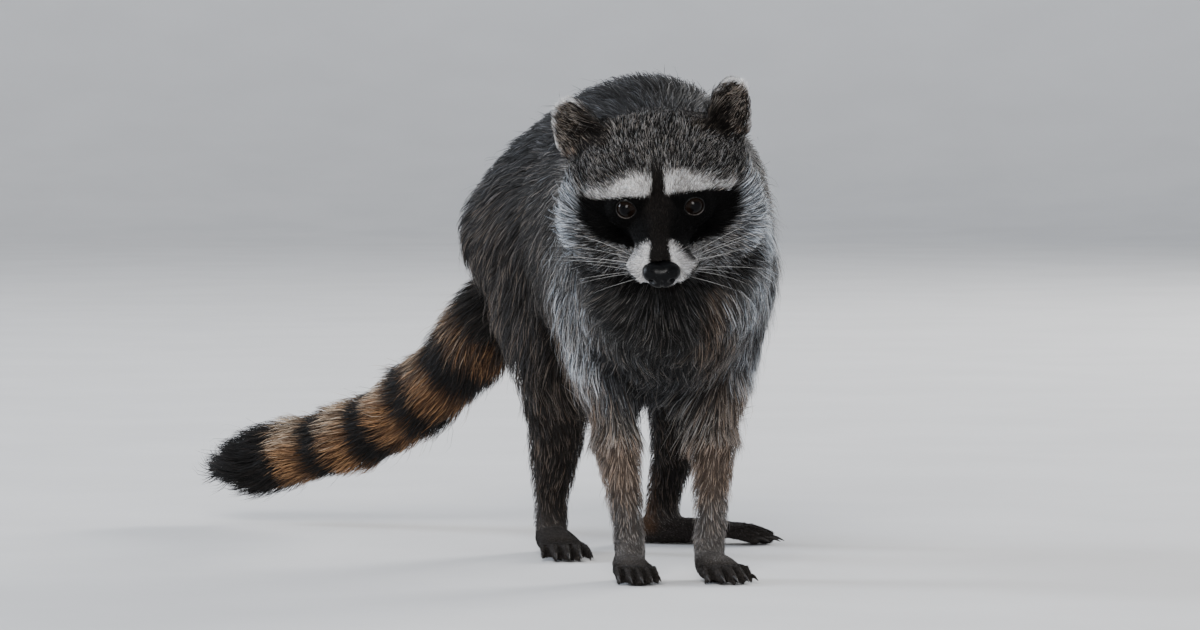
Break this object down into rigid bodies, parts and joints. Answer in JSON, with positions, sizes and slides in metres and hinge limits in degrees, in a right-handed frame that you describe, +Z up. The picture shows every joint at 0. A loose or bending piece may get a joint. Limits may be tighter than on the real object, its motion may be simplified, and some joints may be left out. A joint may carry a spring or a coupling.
{
  "type": "raccoon",
  "caption": "Life-size still model of a raccoon standing on all fours, head turned to the viewer and ringed tail swung to its right, for display.",
  "frame": {"origin": "on the ground, under the middle of the animal's box from nose to tail tip", "axes": "+Z up, -Y the way the body faces, +X the animal's left"},
  "size_m": [0.3562, 0.7126, 0.3218],
  "materials": {
    "grey_coat": "grizzled grey-brown fur",
    "dark_coat": "dark brown-black fur",
    "pale_coat": "pale grey-white fur",
    "tail_coat": "bushy fur in black and tan rings",
    "foot_skin": "dark short-furred skin",
    "nose_leather": "moist black pebbled skin",
    "eye": "wet gloss",
    "claw": "satin horn"
  },
  "bodies": {
    "root": {"belly": "grey_coat", "chest": "grey_coat", "claw_forepaw_left_1": "claw", "claw_forepaw_left_2": "claw", "claw_forepaw_left_3": "claw", "claw_forepaw_left_4": "claw", "claw_forepaw_left_5": "claw", "claw_forepaw_right_1": "claw", "claw_forepaw_right_2": "claw", "claw_forepaw_right_3": "claw", "claw_forepaw_right_4": "claw", "claw_forepaw_right_5": "claw", "claw_hind_foot_left_1": "claw", "claw_hind_foot_left_2": "claw", "claw_hind_foot_left_3": "claw", "claw_hind_foot_left_4": "claw", "claw_hind_foot_left_5": "claw", "claw_hind_foot_right_1": "claw", "claw_hind_foot_right_2": "claw", "claw_hind_foot_right_3": "claw", "claw_hind_foot_right_4": "claw", "claw_hind_foot_right_5": "claw", "ear_left": "pale_coat", "ear_right": "pale_coat", "eye_left": "eye", "eye_right": "eye", "forearm_left": "grey_coat", "forearm_right": "grey_coat", "forepaw_left": "foot_skin", "forepaw_right": "foot_skin", "head": "grey_coat", "hind_foot_left": "foot_skin", "hind_foot_right": "foot_skin", "neck": "grey_coat", "nose": "nose_leather", "rump": "grey_coat", "shank_left": "dark_coat", "shank_right": "dark_coat", "shoulder_left": "grey_coat", "shoulder_right": "grey_coat", "tail_1": "tail_coat", "tail_2": "tail_coat", "tail_3": "tail_coat", "tail_4": "tail_coat", "thigh_left": "dark_coat", "thigh_right": "dark_coat"}
  },
  "joints": []
}
